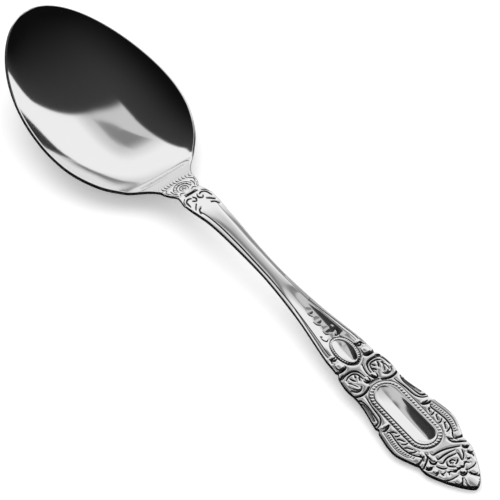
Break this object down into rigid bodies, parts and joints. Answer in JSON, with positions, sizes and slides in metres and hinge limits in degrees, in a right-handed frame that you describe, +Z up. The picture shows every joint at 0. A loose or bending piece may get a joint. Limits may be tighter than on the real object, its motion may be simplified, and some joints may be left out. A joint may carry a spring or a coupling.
{
  "type": "dinner spoon",
  "caption": "Polished steel dinner spoon with a deep egg-shaped bowl, a fluted stem and a flat handle struck with scrolls, bead borders and hollow cartouches.",
  "frame": {"origin": "middle of the spoon's box, on the table that it lies on", "axes": "+X along the spoon from the bowl's tip to the handle's tip, +Y across it, +Z up out of the open bowl"},
  "size_m": [0.2, 0.0448, 0.0232],
  "materials": {
    "bowl_steel": "mirror polished stainless steel with fine wipe marks",
    "handle_steel": "mirror polished stainless steel",
    "relief_steel": "polished struck relief, dark in its recesses"
  },
  "bodies": {
    "root": {"bowl": "bowl_steel", "collar": "handle_steel", "rosette": "relief_steel", "stem": "handle_steel", "stem_scrolls": "relief_steel", "drop_field": "handle_steel", "drops": "relief_steel", "oval_cartouche": "relief_steel", "oval_beads": "relief_steel", "leaf_tips": "relief_steel", "handle_plate": "handle_steel", "left_medallion": "relief_steel", "right_medallion": "relief_steel", "long_cartouche": "relief_steel", "long_beads": "relief_steel", "left_scroll_edge": "relief_steel", "right_scroll_edge": "relief_steel", "left_crescent": "relief_steel", "right_crescent": "relief_steel", "left_foliage": "relief_steel", "right_foliage": "relief_steel", "palmette": "relief_steel", "pearls": "relief_steel", "tip_lobes": "relief_steel"}
  },
  "joints": []
}
